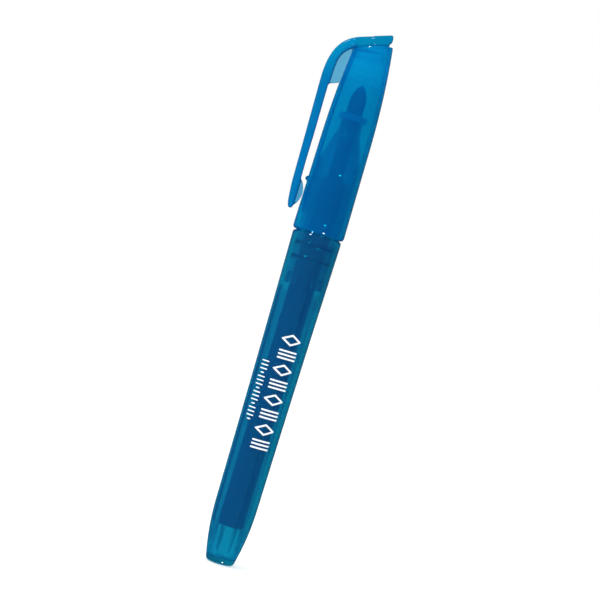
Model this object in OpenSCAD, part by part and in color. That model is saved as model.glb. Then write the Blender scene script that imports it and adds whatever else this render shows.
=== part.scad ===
// Capped stick highlighter: a tapered see-through barrel with a moulded tail, a
// pressed-in front section that carries the nib, an ink reservoir in its film
// sleeve, and a pull-off cap with a crown, an inner sealing cap and a pocket clip.
// Frame: +Z runs from the tail to the cap, the origin is the centre of the flat
// tail face, and the clip is on the -X side. Millimetres.

/* [Barrel] */
// Radius of the flat disc at the tail
tail_flat_r = 2.9; // [2.5:0.1:3.2]
// Radius the tail's curve starts from
tail_r = 3.5; // [3.3:0.05:3.8]
// Height of the rounded corner of the tail
tail_corner_h = 1.1; // [0.8:0.1:1.3]
// Height of the curved tail
tail_h = 17.5; // [15:0.5:20]
// Exponent of the tail's curve
tail_pow = 2.35; // [2:0.05:2.8]
// Radius at the top of the tail
barrel_low_r = 5.46; // [5.4:0.02:5.6]
// Radius at the mouth of the barrel
barrel_top_r = 6.34; // [6.3:0.02:6.5]
// Height of the barrel's mouth above the tail face
barrel_h = 86.2; // [86:0.1:86.2]
// Wall of the barrel
barrel_wall = 0.9; // [0.8:0.05:1]
// Thickness of the tail's floor
tail_floor = 1.5; // [1.2:0.1:2]
// Number of ribs that carry the reservoir in the tail
tail_rib_n = 8; // [6:1:8]
// Radius of the inner edges of the tail's ribs
tail_rib_r = 3.1; // [2.4:0.1:3.2]
// Number of long ribs that centre the reservoir
guide_rib_n = 4; // [3:1:6]
// Thickness of every barrel rib
rib_t = 0.6; // [0.5:0.1:0.8]

/* [Front section] */
// Radius of the plug pressed into the barrel
plug_r = 5.15; // [5.1:0.01:5.15]
// Radius of the plug between its two retaining rings
plug_body_r = 5; // [4.95:0.01:5.05]
// Lower end of the plug
plug_z = 72.8; // [72:0.2:74]
// Number of slots round the plug's lower end
plug_slot_n = 12; // [8:1:12]
// Width of each slot
plug_slot_w = 1.7; // [1.2:0.1:1.8]
// Height of each slot
plug_slot_h = 2.8; // [2:0.2:3.2]
// Radius of the flange that sits on the barrel's mouth
flange_r = 5.7; // [5.6:0.05:5.75]
// Radius of the neck that the cap slides on
neck_r = 5.3; // [5.25:0.01:5.33]
// Height where the neck turns into the shoulder
neck_top = 105; // [104.4:0.2:105.6]
// Height of the shoulder's top
shoulder_top = 112.7; // [112.4:0.1:113]
// Radius of the nozzle
nozzle_r = 2.9; // [2.8:0.05:3.1]
// Radius of the collar round the nozzle's mouth
collar_r = 3.65; // [3.62:0.01:3.68]
// Height of the collar's lower face
collar_z = 116.4; // [116:0.1:116.6]
// Height of the nozzle's mouth
nozzle_top = 117.9; // [117.7:0.1:118]
// Radius of the hollow that holds the reservoir's front end
section_bore_r = 4.3; // [4.2:0.05:4.35]

/* [Nib and ink] */
// Radius of the nib's rod, pressed in the nozzle
nib_rod_r = 1.9; // [1.8:0.05:1.95]
// Greatest radius of the nib's bullet
nib_r = 2.1; // [2:0.05:2.2]
// Height of the nib's point
nib_tip = 125.7; // [125:0.1:125.9]
// Height of the nib's inner end, inside the reservoir
nib_foot = 97; // [95:0.5:99]
// Radius of the ink fibre
core_r = 3.35; // [3.2:0.05:3.35]
// Thickness of the film sleeve
film_t = 0.1; // [0.08:0.01:0.1]
// Height of the reservoir's lower end
core_z = 9.7; // [9.5:0.1:11]
// Height of the reservoir's upper end
core_top = 100.8; // [100:0.1:101]

/* [Cap] */
// Radius of the cap near its mouth
cap_mouth_r = 6.68; // [6.6:0.02:6.7]
// Height of the cap's mouth above the tail face
cap_z = 86.5; // [86.5:0.05:86.7]
// Straight taper of the cap, as radius lost per millimetre
cap_taper = 0.0095; // [0.008:0.0005:0.011]
// Radius lost by the cap's upper curve
cap_draw = 1.586; // [1.5:0.01:1.65]
// Exponent of the cap's upper curve
cap_pow = 2.2; // [2:0.05:2.4]
// Gap between the cap's bore and the neck, on the radius
slide_gap = 0.05; // [0.04:0.01:0.08]
// Wall of the cap's upper part
cap_wall = 1.12; // [1.05:0.01:1.15]
// Height of the cap's slanted top on the clip side
cap_top_low = 134; // [133.8:0.1:134.2]
// Height of the cap's slanted top on the far side
cap_top_high = 137; // [136.8:0.1:137.2]
// Radius of the pip that keeps cloth behind the clip
pip_r = 0.6; // [0.5:0.05:0.65]
// Height of the pip
pip_z = 99.45; // [99:0.05:100]

/* [Inner cap] */
// Outer radius of the sealing skirt
seal_r = 4.45; // [4.4:0.01:4.5]
// Gap between the skirt and the nozzle's collar, on the radius
seal_gap = 0.07; // [0.05:0.01:0.09]
// Height of the skirt's mouth
seal_z = 112.6; // [112.5:0.1:113]
// Height of the flange's upper face
seal_top = 127.2; // [127:0.1:127.4]

/* [Crown and clip] */
// Width of the clip
clip_w = 5; // [4.6:0.1:5.4]
// Radius of the crown seen from above
crown_r = 4.5; // [4.3:0.05:4.6]
// Height of the crown's top edge
crown_top = 140; // [139.8:0.1:140.2]
// Thickness of the web between clip and cap
web_t = 1; // [0.8:0.1:1.2]
// Height where the clip leaves the web and starts to flex
flex_z = 123.6; // [123.4:0.1:123.8]
// Gap at the clip's flexing root
flex_gap = 0.02; // [0.02:0.01:0.05]
// Height of the clip's tip
clip_tip_z = 90.85; // [90.5:0.05:91.2]
// Radius of the half disc on the clip's inner side
ball_r = 4.92; // [4.8:0.02:5]
// Thickness of the half disc
ball_t = 1.4; // [1.2:0.1:1.8]

/* [Hidden] */
$fn = 96;
blue = [0.02, 0.42, 0.68, 0.6];
cut_size = 60; // side of the block that trims the cap's top
slab_w = 20;   // wider than any part of the crown or clip
film_r = core_r + film_t;
rib_gap = 0.05; // between the sleeve and the ribs round it

// ---- Helpers ----
// Point at t, 0 to 1, on a cubic curve with four control points
function bezier(ctrl, t) = pow(1 - t, 3) * ctrl[0] + 3 * pow(1 - t, 2) * t * ctrl[1]
    + 3 * (1 - t) * t * t * ctrl[2] + pow(t, 3) * ctrl[3];
function curve(ctrl, steps) = [for (i = [0:steps]) bezier(ctrl, i / steps)];
function levels(low, high, steps, first = 0) =
    [for (i = [first:steps]) low + (high - low) * i / steps];
function reversed(points) = [for (i = [len(points) - 1:-1:0]) points[i]];

// Copies of the children, evenly turned about Z
module ring(count, start) {
    for (i = [0:count - 1]) rotate([0, 0, start + i * 360 / count]) children();
}
// Block centred on y, from radius inner_r outwards and from height foot_z up
module block(inner_r, foot_z, size) {
    translate([inner_r, -size.y / 2, foot_z]) cube(size);
}
// Side view, x and z, made solid to a width centred on y
module slab(width) {
    rotate([90, 0, 0]) translate([0, 0, -width / 2]) linear_extrude(width) children();
}

// ---- Barrel ----
lip_h = 0.8;        // rounded edge of the mouth
lip_inset = 0.55;
taper_bow = 0.38;   // share of the upper taper that is quadratic
floor_corner = 0.6; // chamfer round the inside of the floor
rib_bite = 0.3;     // how far ribs reach into wall and floor

// Outer radius at height z: a power curve for the tail, a slow taper above it
function body_share(z) = (z - tail_h) / (barrel_h - tail_h);
function barrel_r(z) = z < tail_h
    ? barrel_low_r - (barrel_low_r - tail_r) * pow((tail_h - z) / tail_h, tail_pow)
    : barrel_low_r + (barrel_top_r - barrel_low_r)
        * ((1 - taper_bow) * body_share(z) + taper_bow * pow(body_share(z), 2));
lip_z = barrel_h - lip_h;
barrel_zs = concat(levels(tail_corner_h, tail_h, 12), levels(tail_h, lip_z, 10, first = 1));

// Outlines to be turned about Z have columns radius, height
barrel_outline = concat(
    [[0, 0]],
    [for (a = [0:18:72]) [
        tail_flat_r + (barrel_r(tail_corner_h) - tail_flat_r) * sin(a),
        tail_corner_h * (1 - cos(a))
    ]],
    [for (z = barrel_zs) [barrel_r(z), z]],
    [for (a = [22.5:22.5:90]) [barrel_r(lip_z) - lip_inset * (1 - cos(a)), lip_z + lip_h * sin(a)]],
    [[0, barrel_h]]
);

// Inside of the barrel, which ends in a straight bore for the plug
function bore_r(z) = min(plug_r, barrel_r(z) - barrel_wall);
bore_z = tail_floor + floor_corner;
bore_zs = concat(levels(bore_z, tail_h, 8), levels(tail_h, plug_z - 0.8, 6, first = 1));
function bore_outline(grow) = concat(
    [[0, tail_floor - grow], [bore_r(bore_z) - floor_corner + grow, tail_floor - grow]],
    [for (z = bore_zs) [bore_r(z) + grow, z]],
    [[plug_r + grow, plug_z - 0.4], [plug_r + grow, barrel_h + 1], [0, barrel_h + 1]]
);

module barrel() {
    rib_foot = tail_floor - rib_bite;
    color(blue) {
        difference() {
            rotate_extrude() polygon(barrel_outline);
            rotate_extrude() polygon(bore_outline(0));
        }
        // short ribs on the tail's floor, and long ribs up the wall
        intersection() {
            rotate_extrude() polygon(bore_outline(rib_bite));
            union() {
                ring(tail_rib_n, start = 22.5)
                    block(tail_rib_r, rib_foot, [5, rib_t, core_z - rib_foot]);
                ring(guide_rib_n, start = -67.5)
                    block(film_r + rib_gap, core_z, [4, rib_t, plug_z - 1 - core_z]);
            }
        }
    }
}

// ---- Front section ----
retaining_zs = [79.8, 83.4]; // middles of the retaining rings
throat_z = shoulder_top - 1.5; // where the bore narrows to the nib's rod

section_outline = concat(
    // plug with its retaining rings
    [[section_bore_r, plug_z], [plug_body_r, plug_z]],
    [for (z = retaining_zs) each [
        [plug_body_r, z - 0.4], [plug_r, z - 0.2], [plug_r, z + 0.2], [plug_body_r, z + 0.4]
    ]],
    [[plug_body_r, barrel_h - 0.8], [plug_r, barrel_h - 0.6], [plug_r, barrel_h]],
    // flange and neck
    [[flange_r, barrel_h], [flange_r, barrel_h + 0.2], [neck_r, barrel_h + 0.25]],
    [[neck_r, neck_top - 0.6], [neck_r - 0.15, neck_top]],
    // shoulder and nozzle
    [[nozzle_r + 0.35, shoulder_top - 0.2], [nozzle_r + 0.15, shoulder_top]],
    [[nozzle_r, shoulder_top], [nozzle_r, collar_z]],
    // collar
    [[collar_r - 0.2, collar_z], [collar_r, collar_z + 0.25]],
    [[collar_r, nozzle_top - 0.35], [collar_r - 0.3, nozzle_top]],
    // bore, from the mouth down
    [[nib_rod_r, nozzle_top], [nib_rod_r, throat_z + 0.3], [nib_rod_r + 0.3, throat_z]],
    [[section_bore_r, neck_top - 1.2]]
);

module plug_slot() {
    end_r = plug_slot_w / 2;
    inner_r = 3;
    depth = 3;
    block(inner_r, plug_z - 1, [depth, plug_slot_w, plug_slot_h + 1 - end_r]);
    translate([inner_r, 0, plug_z + plug_slot_h - end_r]) rotate([0, 90, 0])
        cylinder(r = end_r, h = depth, $fn = 32);
}

module front_section() {
    color(blue) {
        difference() {
            rotate_extrude() polygon(section_outline);
            ring(plug_slot_n, start = 15) plug_slot();
            // air vents along the nozzle's bore
            ring(8, start = 22.5) block(nib_rod_r - 0.2, throat_z, [0.6, 0.5, 8]);
        }
        // ribs that centre the reservoir's front end
        ring(6, start = -78) block(film_r + rib_gap, barrel_h + 1,
            [section_bore_r - film_r + 0.3, 0.5, core_top - barrel_h]);
    }
}

// ---- Nib and ink ----
nib_len = 5; // height of the bullet's curve

nib_outline = concat(
    [[0, nib_foot], [nib_rod_r - 0.3, nib_foot], [nib_rod_r, nib_foot + 0.6]],
    [[nib_rod_r, nozzle_top], [nib_r - 0.05, nozzle_top + 0.02], [nib_r, nozzle_top + 0.6]],
    // bullet, with stations closer together towards the point
    [for (i = [0:9]) let (depth = nib_len * pow(1 - i / 10, 1.6))
        [nib_r * pow(1 - pow(1 - depth / nib_len, 2.4), 0.75), nib_tip - depth]],
    [[0, nib_tip]]
);

module nib() {
    color([0.1, 0.3, 0.75]) rotate_extrude() polygon(nib_outline);
}

module reservoir_core() {
    color([0.05, 0.2, 0.5]) difference() {
        translate([0, 0, core_z]) cylinder(r = core_r, h = core_top - core_z);
        translate([0, 0, nib_foot]) cylinder(r = nib_rod_r, h = core_top - nib_foot + 1);
    }
}

module reservoir_film() {
    color([0.6, 0.8, 0.9, 0.4]) difference() {
        translate([0, 0, core_z]) cylinder(r = film_r, h = core_top - core_z);
        translate([0, 0, core_z - 1]) cylinder(r = core_r, h = core_top - core_z + 2);
    }
}

// ---- Cap ----
cap_taper_z = 88;   // where the straight taper starts
cap_curve_z = 110;  // where the upper curve starts
cap_curve_h = 27;   // height over which the curve loses cap_draw
cap_blank_top = 138; // top before the slanted cut
cap_lip_w = 0.65;   // rounded edge of the mouth
cap_lip_h = 0.9;
rim_x = -5.1;       // clip side of the slanted top
rim_span = 9.5;     // x distance over which the top rises

function cap_r(z) = cap_mouth_r - cap_taper * (z - cap_taper_z)
    - cap_draw * pow(max(0, z - cap_curve_z) / cap_curve_h, cap_pow);
cap_bore_r = neck_r + slide_gap;
function cap_in(z) = min(cap_bore_r, cap_r(z) - cap_wall);
cap_zs = concat([cap_taper_z, 94, 100, 106], levels(cap_curve_z, cap_blank_top, 12));

cap_outline = concat(
    [[0, cap_z], [cap_mouth_r - cap_lip_w, cap_z]],
    [for (a = [22.5:22.5:90])
        [cap_mouth_r - cap_lip_w + cap_lip_w * sin(a), cap_z + cap_lip_h * (1 - cos(a))]],
    [for (z = cap_zs) [cap_r(z), z]],
    [[0, cap_blank_top]]
);
// bore, widened at the mouth
cap_bore_outline = concat(
    [[0, cap_z - 1], [cap_bore_r + 0.25, cap_z - 1]],
    [[cap_bore_r + 0.25, cap_z + 0.2], [cap_bore_r, cap_z + 0.6]],
    [for (z = [cap_curve_z:2:cap_blank_top]) [cap_in(z), z]],
    [[0, cap_blank_top]]
);

// Everything above the cap's slanted top
module rim_cut() {
    translate([rim_x, 0, cap_top_low])
        rotate([0, -atan2(cap_top_high - cap_top_low, rim_span), 0])
            translate([-10, -cut_size / 2, 0]) cube([cut_size, cut_size, cut_size]);
}

// Outside of the cap as a solid, to trim the crown against
module cap_body() {
    difference() {
        rotate_extrude() polygon(cap_outline);
        rim_cut();
    }
}

module cap_shell() {
    color(blue) difference() {
        union() {
            rotate_extrude() polygon(cap_outline);
            translate([-cap_r(pip_z), 0, pip_z]) sphere(r = pip_r, $fn = 48);
        }
        rim_cut();
        rotate_extrude() polygon(cap_bore_outline);
    }
}

// ---- Inner cap ----
module inner_cap() {
    inner_r = collar_r + seal_gap;
    flange_r = 4.55;
    roof_t = 0.8;
    corner_r = 0.8; // rounded corner under the roof
    color([0.3, 0.65, 0.85, 0.5]) rotate_extrude() polygon(concat(
        [[inner_r + 0.2, seal_z], [seal_r - 0.1, seal_z], [seal_r, seal_z + 0.3]],
        [[seal_r, seal_top - 1.1], [flange_r, seal_top - roof_t], [flange_r, seal_top]],
        [[0, seal_top], [0, seal_top - roof_t]],
        [for (a = [90:-22.5:0]) [
            inner_r - corner_r + corner_r * cos(a),
            seal_top - roof_t - corner_r + corner_r * sin(a)
        ]],
        [[inner_r, seal_z + 0.4]]
    ));
}

// ---- Crown and clip ----
// Side views have columns x, z
root_outer_x = -10.78;
root_inner_x = -8.46;
root_z = flex_z + flex_gap;
root_inner = curve([[root_inner_x, 124.5], [-8.4, 130.65], [-8.4, 132.54], [-4.6, 134.9]], 8);
crown_step_x = 3.6;
crown_plug_z = 132;
crown_plug_r = 3; // hollow in the crown's plug

module crown_side() {
    polygon(concat(
        // top edge, then down the outside of the clip's root
        [for (a = [0:22.5:90]) [crown_r - 1 + 0.75 * cos(a), crown_top - 1 + sin(a)]],
        curve([[-4.2, 137.32], [-7.99, 135.92], [root_outer_x, 132.83], [root_outer_x, 125.5]], 12),
        [[root_outer_x, root_z], [root_inner_x, root_z]],
        root_inner,
        // underside, and the step on the far side
        [[-4, 134.2], [0, 134.4], [crown_step_x, 135]],
        [[crown_step_x, crown_top - 2.3], [crown_r - 0.3, crown_top - 1.8]]
    ));
}

// The crown from above: round over the cap, narrowing into the clip
module crown_plan() {
    half_w = clip_w / 2;
    end_x = -12;
    flank = curve([[-2.2, crown_r - 0.42], [-4.2, 3.2], [-5.2, half_w], [-7.5, half_w]], 8);
    union() {
        translate([-0.25, 0]) circle(r = crown_r);
        polygon(concat(
            flank,
            [[end_x, half_w], [end_x, -half_w]],
            [for (point = reversed(flank)) [point.x, -point.y]]
        ));
    }
}

// Tapered ring that wedges in the cap's open top
module crown_plug() {
    difference() {
        intersection() {
            rotate_extrude() polygon(concat(
                [[0, crown_plug_z]],
                [for (z = [crown_plug_z:2:cap_blank_top]) [cap_in(z), z]],
                [[0, cap_blank_top]]
            ));
            slab(slab_w) polygon([[-6, 131], [6, 131], [6, crown_top - 1.8], [-6, 136]]);
        }
        translate([0, 0, crown_plug_z - 1]) cylinder(r = crown_plug_r, h = 4);
    }
}

// Thin web between the clip's root and the cap
module web() {
    difference() {
        slab(web_t) polygon(concat(
            [[-8.5, root_z], [-8.2, flex_z + 0.35], [-7.8, flex_z + 0.6], [-5.6, 125], [-3, 134.6]],
            [for (point = reversed(root_inner)) point + [-0.1, 0]]
        ));
        cap_body();
    }
}

module crown_clip() {
    color(blue) {
        difference() {
            intersection() {
                slab(slab_w) crown_side();
                translate([0, 0, 120]) linear_extrude(30) crown_plan();
            }
            cap_body();
        }
        crown_plug();
        web();
    }
}

arm_outer = concat(
    [[root_outer_x, flex_z]],
    curve([[-10.58, 116], [-10.35, 107], [-10.25, 100.5], [-10.17, 97.5]], 4),
    curve([[-10.04, 95.7], [-9.85, 93.8], [-9.75, 90.85], [-8.8, clip_tip_z]], 8)
);
arm_inner = concat(
    curve([[-8.55, clip_tip_z + 0.02], [-8.3, 91.05], [-8.2, 91.4], [-8.2, 92.2]], 4),
    [[-8.2, 98.9], [-8.3, 104], [-8.3, 112], [root_inner_x, flex_z]]
);

// The clip's rounded end, seen along x
module arm_front() {
    end_r = clip_w / 2;
    end_z = clip_tip_z + end_r;
    union() {
        translate([-end_r, end_z + 1]) square([clip_w, 60]);
        translate([0, end_z]) circle(r = end_r);
        translate([-end_r, end_z]) square([clip_w, 2]);
    }
}

module clip_arm() {
    color(blue) {
        intersection() {
            slab(slab_w) polygon(concat(arm_outer, arm_inner));
            rotate([90, 0, 90]) translate([0, 0, -14]) linear_extrude(10) arm_front();
        }
        // half disc that presses the cloth against the cap
        slab(ball_t) intersection() {
            translate([-11.66, 95.35]) circle(r = ball_r);
            translate([-8.7, 91.5]) square([3, 8]);
        }
    }
}

barrel();
front_section();
nib();
reservoir_core();
reservoir_film();
cap_shell();
inner_cap();
crown_clip();
clip_arm();
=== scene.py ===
"""A capped see-through highlighter pen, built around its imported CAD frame.

The pen stands on its tail with its axis on +Z and its cap uppermost; the clip is on the -X side.
Lengths are millimetres in the CAD frame and become metres when a mesh is made. The stage's
lamps and camera are in metres. Outlines of turned pieces are lists of (radius, z).
"""
import itertools
import math

import bmesh
import bpy
import numpy as np
from mathutils import Matrix, Vector


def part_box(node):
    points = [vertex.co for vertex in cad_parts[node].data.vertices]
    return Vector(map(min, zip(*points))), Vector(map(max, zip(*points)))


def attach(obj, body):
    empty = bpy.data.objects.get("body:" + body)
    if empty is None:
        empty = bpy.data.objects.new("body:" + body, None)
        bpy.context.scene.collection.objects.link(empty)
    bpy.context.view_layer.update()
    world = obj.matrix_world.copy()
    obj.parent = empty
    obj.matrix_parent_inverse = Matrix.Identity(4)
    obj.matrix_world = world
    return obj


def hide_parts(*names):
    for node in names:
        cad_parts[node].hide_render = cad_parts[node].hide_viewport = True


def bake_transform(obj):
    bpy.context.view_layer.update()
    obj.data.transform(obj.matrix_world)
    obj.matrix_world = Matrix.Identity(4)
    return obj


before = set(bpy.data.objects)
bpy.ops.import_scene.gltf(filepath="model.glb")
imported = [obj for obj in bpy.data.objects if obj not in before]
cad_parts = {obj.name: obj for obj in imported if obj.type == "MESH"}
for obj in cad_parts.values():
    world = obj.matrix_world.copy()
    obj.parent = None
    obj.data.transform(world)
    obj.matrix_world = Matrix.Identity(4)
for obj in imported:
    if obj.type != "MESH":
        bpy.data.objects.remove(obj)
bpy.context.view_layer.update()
MM = 0.001


# ---------------------------------------------------------------- sizes
def piece_box(name):
    """Low and high corners of a CAD piece."""
    low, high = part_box(name)
    return low / MM, high / MM


def piece_ends(name):
    low, high = piece_box(name)
    return low.z, high.z


BARREL_TOP = piece_ends("barrel")[1]
PLUG_FOOT, NOZZLE_TOP = piece_ends("front_section")
NIB_FOOT, NIB_TIP = piece_ends("nib")
CORE_FOOT, CORE_TOP = piece_ends("reservoir_core")
CORE_R = piece_box("reservoir_core")[1].x
CAP_FOOT = piece_ends("cap_shell")[0]
SEAL_FOOT, SEAL_TOP = piece_ends("inner_cap")
CROWN_TOP = piece_ends("crown_clip")[1]
CLIP_TIP, FLEX_Z = piece_ends("clip_arm")
CLIP_HALF = piece_box("clip_arm")[1].y

# barrel
TAIL_H = 17.5           # the tail curves in below this height
TAIL_R = 3.5            # what the tail curve would reach at z = 0
TAIL_POWER = 2.35
LOW_R, TOP_R = 5.46, 6.34
FLARE = 0.38            # quadratic share of the widening towards the mouth
TAIL_FLAT, TAIL_CORNER = 2.9, 1.1
FLOOR = 1.5
FLOOR_FILLET = 0.6
WALL = 0.9
# front section
PLUG_R, NECK_R, NOZZLE_R, COLLAR_R, SECTION_BORE = 5.15, 5.30, 2.90, 3.65, 4.30
# ribs in the barrel and the section stop this far from the axis, just clear of the reservoir
RIB_R = CORE_R + 0.17
# cap
CAP_R, CAP_R_Z, CAP_TAPER = 6.68, 88, 0.0095
SHOULDER_Z, SHOULDER_H, SHOULDER_IN, SHOULDER_POWER = 110, 27, 1.586, 2.2
CAP_BORE = NECK_R + 0.05
CAP_WALL = 1.12
SLOPE = 3.0 / 9.5       # rise of the slanted cap top towards +X
SLOPE_X, SLOPE_Z = -5.1, 134.0


def barrel_r(z):
    z = np.asarray(z, float)
    up = (z - TAIL_H) / (BARREL_TOP - TAIL_H)
    tail = LOW_R - (LOW_R - TAIL_R) * np.clip((TAIL_H - z) / TAIL_H, 0, None) ** TAIL_POWER
    body = LOW_R + (TOP_R - LOW_R) * ((1 - FLARE) * up + FLARE * up * up)
    return np.where(z < TAIL_H, tail, body)


def bore_r(z):
    return np.minimum(PLUG_R, barrel_r(z) - WALL)


def cap_r(z):
    z = np.asarray(z, float)
    shoulder = (np.clip(z - SHOULDER_Z, 0, None) / SHOULDER_H) ** SHOULDER_POWER
    return CAP_R - CAP_TAPER * (z - CAP_R_Z) - SHOULDER_IN * shoulder


def cap_in(z):
    return np.minimum(CAP_BORE, cap_r(z) - CAP_WALL)


def top_plane(x):
    """Height of the slanted cap top at x."""
    return SLOPE_Z + (x - SLOPE_X) * SLOPE


# ---------------------------------------------------------------- mesh helpers
def ease(start, end, x):
    t = np.clip((x - start) / (end - start), 0, 1)
    return t * t * (3 - 2 * t)


def follow(radius, heights, inset=0):
    """Outline points on a wall whose radius is a function of height."""
    return [(float(radius(z)) - inset, z) for z in heights]


def rounded(corners, steps=5):
    """Corners (r, z, fillet) to an outline in which each fillet is an arc of steps + 1 points."""
    out = []
    for i, corner in enumerate(corners):
        fillet = corner[2] if len(corner) > 2 else 0
        if fillet <= 0 or i in (0, len(corners) - 1):
            out.append((corner[0], corner[1]))
            continue
        here = np.array(corner[:2], float)
        back = np.array(corners[i - 1][:2], float) - here
        ahead = np.array(corners[i + 1][:2], float) - here
        back_len, ahead_len = np.linalg.norm(back), np.linalg.norm(ahead)
        back, ahead = back / back_len, ahead / ahead_len
        half = math.acos(float(np.clip(back @ ahead, -1, 1))) / 2
        if half < 0.02 or half > math.pi / 2 - 0.01:
            out.append(tuple(here))
            continue
        cut = min(fillet / math.tan(half), 0.49 * back_len, 0.49 * ahead_len)
        fillet = cut * math.tan(half)
        middle = (back + ahead) / np.linalg.norm(back + ahead)
        centre = here + middle * fillet / math.sin(half)
        first, last = here + back * cut - centre, here + ahead * cut - centre
        start = math.atan2(first[1], first[0])
        sweep = (math.atan2(last[1], last[0]) - start + math.pi) % (2 * math.pi) - math.pi
        for k in range(steps + 1):
            t = start + sweep * k / steps
            out.append((centre[0] + fillet * math.cos(t), centre[1] + fillet * math.sin(t)))
    return out


def resample(points, step):
    """Adds points on long straight runs, so that no edge is longer than step."""
    out = [points[0]]
    for a, b in zip(points[:-1], points[1:]):
        n = max(1, math.ceil(math.hypot(b[0] - a[0], b[1] - a[1]) / step))
        out += [(a[0] + (b[0] - a[0]) * k / n, a[1] + (b[1] - a[1]) * k / n)
                for k in range(1, n + 1)]
    return out


def thinned(values, gap):
    """Sorted values, without those that follow another within gap."""
    values = np.sort(values)
    return values[np.concatenate([[True], np.diff(values) > gap])]


def spaced_turns(n, centres=(), half=0.0, soft=0.0):
    """n even angles in radians, with extra ones at both edges of features centred at centres.

    The features' half width and the softness of their edges are in degrees."""
    gap = 0.08
    turns = list(np.linspace(0, 360, n, endpoint=False))
    for centre in centres:
        for side in (-1, 1):
            turns += [centre + side * (half + soft * k) for k in (-1.5, -1, -0.5, 0, 0.5, 1, 1.5)]
        turns.append(centre)
    turns = thinned(np.mod(np.array(turns), 360), gap)
    if turns[0] + 360 - turns[-1] < gap:
        turns = turns[:-1]
    return np.radians(turns)


def degrees_from(turns, centre):
    """Signed angle in degrees from centre (degrees) to each of turns (radians)."""
    return (np.degrees(turns) - centre + 180) % 360 - 180


def ridge(turns, centre, flat, edge):
    """Column over turns: 1 within flat degrees of centre, easing to 0 at edge degrees."""
    return (1 - ease(flat, edge, np.abs(degrees_from(turns, centre))))[:, None]


def grids(turns, profile):
    """Radius and height grids [turn, point] of one outline turned all round."""
    return split_grids([profile] * len(turns))


def split_grids(outlines):
    both = np.array(outlines, float)
    return both[..., 0].copy(), both[..., 1].copy()


def new_object(name, verts, faces, materials, smooth_angle=None):
    mesh = bpy.data.meshes.new(name)
    mesh.from_pydata([tuple(v) for v in np.asarray(verts) * MM], [], faces)
    mesh.validate()
    mesh.update()
    mesh.shade_smooth()
    if smooth_angle:
        mesh.set_sharp_from_angle(angle=math.radians(smooth_angle))
    for material in materials:
        mesh.materials.append(material)
    ob = bpy.data.objects.new(name, mesh)
    bpy.context.scene.collection.objects.link(ob)
    return ob


def fix_normals(ob):
    bm = bmesh.new()
    bm.from_mesh(ob.data)
    bmesh.ops.recalc_face_normals(bm, faces=bm.faces)
    bm.to_mesh(ob.data)
    bm.free()
    ob.data.update()


def turned(name, turns, R, Z, materials, loop, smooth_angle=35):
    """Surface from radius and height grids [turn, point].

    loop joins the last point to the first; otherwise both ends lie on the axis."""
    if not loop:
        ends = [[0, 0, Z[0, 0]], [0, 0, Z[0, -1]]]
        R, Z = R[:, 1:-1], Z[:, 1:-1]
    count, rows = R.shape
    X = R * np.cos(turns)[:, None]
    Y = R * np.sin(turns)[:, None]
    verts = np.stack([X, Y, Z], -1).reshape(-1, 3)
    faces = []
    first = count * rows        # index of the first axis point
    if not loop:
        verts = np.concatenate([verts, ends])
    for i in range(count):
        a, b = i * rows, ((i + 1) % count) * rows
        if not loop:
            faces.append((first, b, a))
        for j in range(rows if loop else rows - 1):
            k = (j + 1) % rows
            faces.append((a + j, b + j, b + k, a + k))
        if not loop:
            faces.append((a + rows - 1, b + rows - 1, first + 1))
    ob = new_object(name, verts, faces, materials, smooth_angle)
    fix_normals(ob)
    return ob


# ---------------------------------------------------------------- shader helpers
def new_material(name):
    material = bpy.data.materials.new(name)
    material.use_nodes = True
    material.node_tree.nodes.clear()
    return material, material.node_tree


def plug_in(tree, socket, value):
    """Links a socket to another, or sets its plain value."""
    if isinstance(value, bpy.types.NodeSocket):
        tree.links.new(value, socket)
    else:
        socket.default_value = value


def add(tree, kind, **inputs):
    node = tree.nodes.new(kind)
    for key, value in inputs.items():
        plug_in(tree, node.inputs[key.replace("_", " ")], value)
    return node


def rgba(colour):
    return (*colour, 1.0)


def calc(tree, operation, first, second, clamp=False):
    node = tree.nodes.new("ShaderNodeMath")
    node.operation = operation
    node.use_clamp = clamp
    plug_in(tree, node.inputs[0], first)
    plug_in(tree, node.inputs[1], second)
    return node.outputs[0]


def texture(tree, stretch, kind="ShaderNodeTexNoise", **inputs):
    """A texture in object coordinates, scaled by stretch on x, y and z."""
    coords = tree.nodes.new("ShaderNodeTexCoord")
    mapping = add(tree, "ShaderNodeMapping", Vector=coords.outputs["Object"], Scale=stretch)
    return add(tree, kind, Vector=mapping.outputs["Vector"], **inputs)


def ramp(tree, factor, stops):
    """A colour ramp with stops (position, colour)."""
    node = add(tree, "ShaderNodeValToRGB", Fac=factor)
    elements = node.color_ramp.elements
    while len(elements) < len(stops):
        elements.new(0.5)
    for element, (position, colour) in zip(elements, stops):
        element.position = position
        element.color = rgba(colour)
    return node.outputs["Color"]


def grey(value):
    return (value,) * 3


def mix_colour(tree, factor, first, second, blend="MIX"):
    node = tree.nodes.new("ShaderNodeMix")
    node.data_type = "RGBA"
    node.blend_type = blend
    sockets = [s for s in node.inputs if s.enabled]
    for socket, value in zip(sockets, (factor, first, second)):
        plug_in(tree, socket, rgba(value) if isinstance(value, tuple) else value)
    return [s for s in node.outputs if s.enabled][0]


def multiply(tree, first, second):
    return mix_colour(tree, 1.0, first, second, "MULTIPLY")


def mix_shader(tree, factor, first, second):
    node = tree.nodes.new("ShaderNodeMixShader")
    for socket, value in zip(node.inputs, (factor, first, second)):
        plug_in(tree, socket, value)
    return node.outputs[0]


def bump(tree, height, strength, distance):
    return add(tree, "ShaderNodeBump", Strength=strength, Distance=distance,
               Height=height).outputs[0]


def finish_surface(tree, shader):
    return add(tree, "ShaderNodeOutputMaterial", Surface=shader)


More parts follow.
